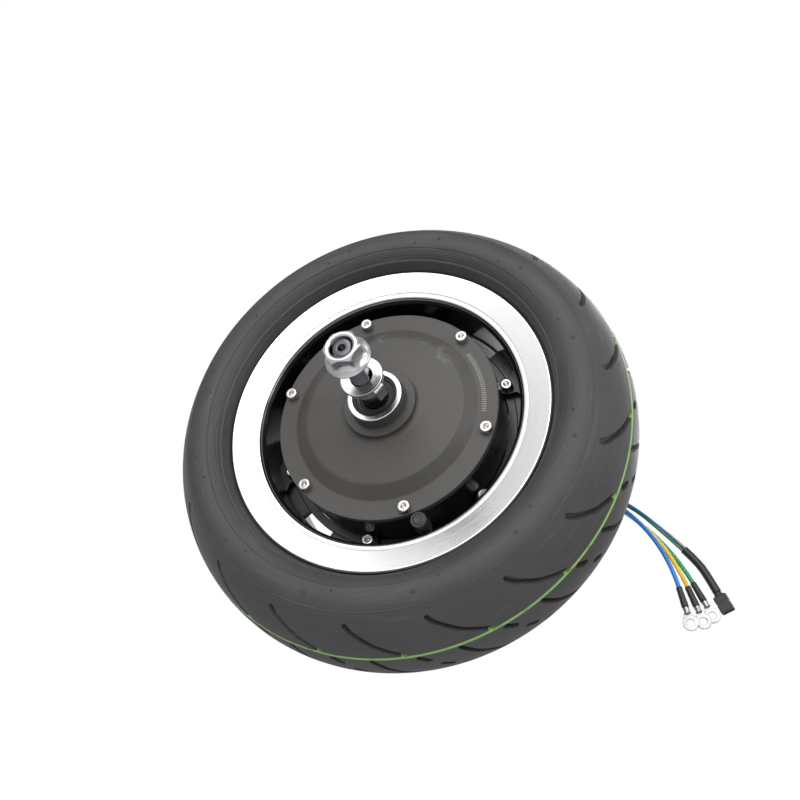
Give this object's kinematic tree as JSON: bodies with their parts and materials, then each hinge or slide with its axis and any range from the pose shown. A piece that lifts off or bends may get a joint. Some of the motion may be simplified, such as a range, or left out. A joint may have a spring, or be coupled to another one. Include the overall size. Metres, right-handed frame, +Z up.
{
  "type": "hub motor wheel",
  "caption": "Pneumatic tyre and alloy rim on a brushless hub motor that turns about a fixed threaded axle, with cable and wires.",
  "frame": {"origin": "centre of the wheel, on the axle's centreline at the tyre's centre plane", "axes": "+Y along the axle towards the cable side, so the wheel spins about +Y; +Z up; +X across the wheel towards the cable's exit"},
  "size_m": [0.3149, 0.209, 0.278],
  "materials": {
    "steel_dark": "turned steel, oiled",
    "zinc": "zinc plated",
    "stainless": "stainless screws",
    "silver_lip": "cast alloy, polished lips and black barrel",
    "cover_black": "matte dark grey paint on cast alloy",
    "shell_black": "gloss black paint on steel",
    "tyre": "moulded rubber with a fine green line",
    "rubber": "black rubber",
    "cap": "black plastic",
    "laminations": "stacked steel sheet",
    "alloy": "cast alloy",
    "copper": "enamelled copper wire",
    "board": "circuit board",
    "magnet": "nickel plated magnets",
    "bearing": "ground bearing steel",
    "jacket": "black cable jacket",
    "blue": "blue wire insulation",
    "yellow": "yellow wire insulation",
    "green": "green wire insulation",
    "red": "red wire insulation",
    "tin": "tinned copper"
  },
  "bodies": {
    "axle_body": {"axle": "steel_dark", "axle_key": "steel_dark", "stator_hub": "alloy", "stator_core": "laminations", "stator_windings": "copper", "hall_board": "board", "hall_sensors": "cap", "cable_strain_relief": "rubber", "cable_jacket": "jacket", "cable_boot": "rubber", "sensor_sleeve": "jacket", "sensor_plug": "cap", "phase_wire_blue": "blue", "phase_wire_yellow": "yellow", "phase_wire_green": "green", "heat_shrink_blue": "jacket", "heat_shrink_yellow": "jacket", "heat_shrink_green": "jacket", "ring_lug_blue": "tin", "ring_lug_yellow": "tin", "ring_lug_green": "tin", "hall_wire_red": "red", "hall_wire_black": "jacket", "hall_wire_sense_yellow": "yellow", "hall_wire_sense_green": "green", "hall_wire_sense_blue": "blue", "front_nut": "zinc", "front_washer": "zinc", "front_tab_washer": "zinc", "front_spacer": "zinc", "front_inner_race": "bearing", "rear_nut": "zinc", "rear_washer": "zinc", "rear_tab_washer": "zinc", "rear_spacer": "zinc", "rear_inner_race": "bearing"},
    "wheel": {"rim": "silver_lip", "tyre": "tyre", "motor_shell": "shell_black", "magnets": "magnet", "rim_screws": "stainless", "valve_stem": "rubber", "valve_cap": "cap", "front_cover": "cover_black", "front_cover_screws": "stainless", "front_seal": "rubber", "front_outer_race": "bearing", "rear_cover": "cover_black", "rear_cover_screws": "stainless", "rear_seal": "rubber", "rear_outer_race": "bearing"},
    "front_bearing_balls": {"front_balls": "bearing", "front_ball_cage": "bearing"},
    "rear_bearing_balls": {"rear_balls": "bearing", "rear_ball_cage": "bearing"}
  },
  "joints": [
    {"name": "wheel_spin", "type": "hinge", "parent": "axle_body", "child": "wheel", "pos_m": [0, 0, 0], "axis": [0, 1, 0], "continuous": true},
    {"name": "front_bearing_spin", "type": "hinge", "parent": "axle_body", "child": "front_bearing_balls", "pos_m": [0, 0, 0], "axis": [0, 1, 0], "continuous": true},
    {"name": "rear_bearing_spin", "type": "hinge", "parent": "axle_body", "child": "rear_bearing_balls", "pos_m": [0, 0, 0], "axis": [0, 1, 0], "continuous": true}
  ],
  "couplings": [
    {"joint": "front_bearing_spin", "follows": "wheel_spin", "ratio": 0.606},
    {"joint": "rear_bearing_spin", "follows": "wheel_spin", "ratio": 0.606}
  ]
}
